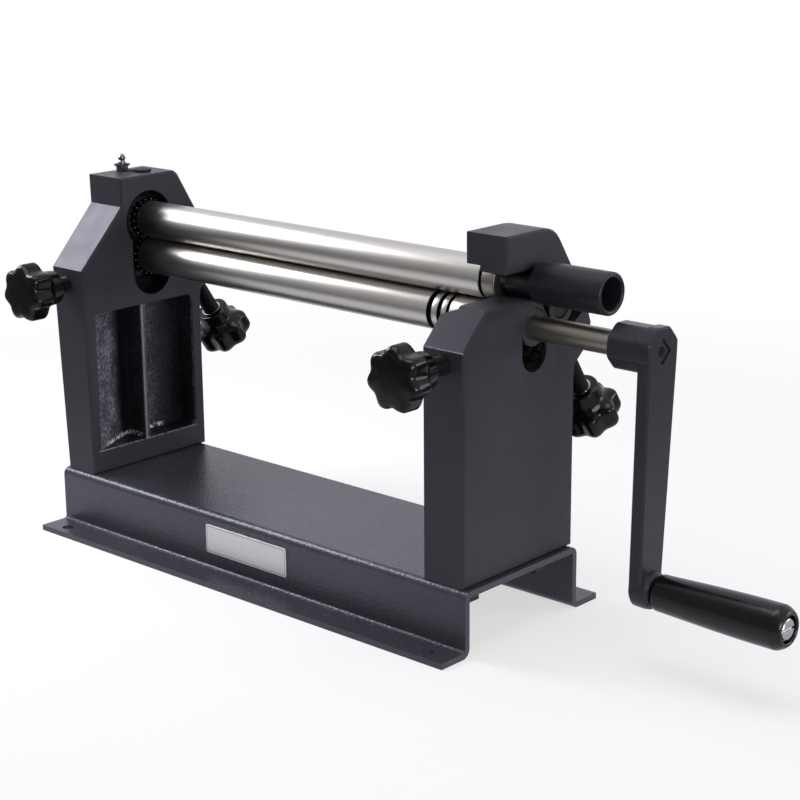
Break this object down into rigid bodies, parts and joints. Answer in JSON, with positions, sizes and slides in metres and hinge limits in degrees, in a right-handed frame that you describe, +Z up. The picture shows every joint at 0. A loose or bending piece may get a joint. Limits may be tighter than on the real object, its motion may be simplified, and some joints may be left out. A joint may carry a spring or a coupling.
{
  "type": "slip roll machine",
  "caption": "Hand-cranked bench slip roll: steel rolls between end frames on a folded base, with star-knob adjusters, crank and swing-out upper roll.",
  "frame": {"origin": "middle of the front flange's underside, on the bench", "axes": "+X along the rolls toward the crank, +Y to the rear roll, +Z up"},
  "size_m": [0.562, 0.2091, 0.2591],
  "materials": {
    "paint": "dark grey powder coat, fine orange peel",
    "casting": "painted dark grey casting, smooth faces",
    "roll_steel": "ground and polished round bar",
    "dark_steel": "blackened steel",
    "bright_steel": "bright zinc or nickel plate",
    "bearing_steel": "machined steel",
    "black_plastic": "glossy black moulded plastic",
    "black_rubber": "soft black rubber",
    "plate_metal": "bare satin aluminium plate"
  },
  "bodies": {
    "frame": {"base_channel": "paint", "left_frame": "casting", "right_frame": "casting", "name_plate": "plate_metal", "grease_nipple": "bright_steel", "nipple_dust_cap": "black_rubber", "frame_bolt_left_front": "dark_steel", "frame_bolt_left_rear": "dark_steel", "frame_bolt_right_front": "dark_steel", "frame_bolt_right_rear": "dark_steel"},
    "lower_carriage": {"lower_left_block": "dark_steel", "lower_right_bush": "bearing_steel"},
    "lower_roll_set": {"lower_roll": "roll_steel", "lower_gear": "dark_steel", "crank_arm": "paint", "grip_spindle": "bright_steel"},
    "grip": {"crank_grip": "black_plastic"},
    "upper_carrier": {"upper_left_rocker": "bearing_steel"},
    "upper_roll_set": {"upper_roll": "roll_steel", "upper_gear": "dark_steel"},
    "sleeve": {"release_sleeve": "dark_steel"},
    "rear_carriage": {"rear_left_block": "dark_steel", "rear_left_bush": "bearing_steel", "rear_right_block": "dark_steel", "rear_right_bush": "bearing_steel"},
    "rear_roll_set": {"rear_roll": "roll_steel"},
    "wedges": {"left_wedge": "dark_steel", "right_wedge": "dark_steel"},
    "front_left_adjuster": {"front_left_knob": "black_plastic", "front_left_knob_insert": "bright_steel", "front_left_screw": "dark_steel"},
    "front_right_adjuster": {"front_right_knob": "black_plastic", "front_right_knob_insert": "bright_steel", "front_right_screw": "dark_steel"},
    "rear_left_adjuster": {"rear_left_knob": "black_plastic", "rear_left_knob_insert": "bright_steel", "rear_left_screw": "dark_steel"},
    "rear_right_adjuster": {"rear_right_knob": "black_plastic", "rear_right_knob_insert": "bright_steel", "rear_right_screw": "dark_steel"}
  },
  "joints": [
    {"name": "lower_roll_lift", "type": "slide", "parent": "frame", "child": "lower_carriage", "axis": [0, 0, 1], "range_m": [-0.00175, 0]},
    {"name": "lower_roll_spin", "type": "hinge", "parent": "lower_carriage", "child": "lower_roll_set", "pos_m": [0, 0.08, 0.18885], "axis": [1, 0, 0], "continuous": true},
    {"name": "grip_spin", "type": "hinge", "parent": "lower_roll_set", "child": "grip", "pos_m": [0.3, 0.07459, 0.04795], "axis": [1, 0, 0], "continuous": true},
    {"name": "upper_roll_swing", "type": "hinge", "parent": "frame", "child": "upper_carrier", "pos_m": [-0.1647, 0.08, 0.21445], "axis": [0, 0, 1], "range_deg": [-6.5, 0]},
    {"name": "upper_roll_spin", "type": "hinge", "parent": "upper_carrier", "child": "upper_roll_set", "pos_m": [0, 0.08, 0.21445], "axis": [1, 0, 0], "continuous": true},
    {"name": "release_sleeve_turn", "type": "hinge", "parent": "upper_carrier", "child": "sleeve", "pos_m": [0.2, 0.08, 0.21445], "axis": [1, 0, 0], "continuous": true},
    {"name": "rear_roll_lift", "type": "slide", "parent": "frame", "child": "rear_carriage", "axis": [0, -0.5519, 0.8339], "range_m": [-0.0035, 0.0035]},
    {"name": "rear_roll_spin", "type": "hinge", "parent": "rear_carriage", "child": "rear_roll_set", "pos_m": [0, 0.106, 0.197], "axis": [1, 0, 0], "continuous": true},
    {"name": "wedge_slide", "type": "slide", "parent": "frame", "child": "wedges", "axis": [0, 1, 0], "range_m": [-0.00175, 0]},
    {"name": "front_left_turn", "type": "hinge", "parent": "wedges", "child": "front_left_adjuster", "pos_m": [-0.17455, 0.006, 0.176], "axis": [0, 1, 0], "range_deg": [-360, 0]},
    {"name": "front_right_turn", "type": "hinge", "parent": "wedges", "child": "front_right_adjuster", "pos_m": [0.16765, 0.006, 0.176], "axis": [0, 1, 0], "range_deg": [-360, 0]},
    {"name": "rear_left_turn", "type": "hinge", "parent": "rear_carriage", "child": "rear_left_adjuster", "pos_m": [-0.17455, 0.106, 0.197], "axis": [0, -0.5519, 0.8339], "range_deg": [-720, 720]},
    {"name": "rear_right_turn", "type": "hinge", "parent": "rear_carriage", "child": "rear_right_adjuster", "pos_m": [0.16765, 0.106, 0.197], "axis": [0, -0.5519, 0.8339], "range_deg": [-720, 720]}
  ],
  "couplings": [
    {"joint": "upper_roll_spin", "follows": "lower_roll_spin", "ratio": -1},
    {"joint": "wedge_slide", "follows": "lower_roll_lift", "ratio": 1},
    {"joint": "front_left_turn", "follows": "lower_roll_lift", "rad_per_m": 3590.4},
    {"joint": "front_right_turn", "follows": "lower_roll_lift", "rad_per_m": 3590.4},
    {"joint": "rear_left_turn", "follows": "rear_roll_lift", "rad_per_m": 3590.4},
    {"joint": "rear_right_turn", "follows": "rear_roll_lift", "rad_per_m": 3590.4}
  ]
}
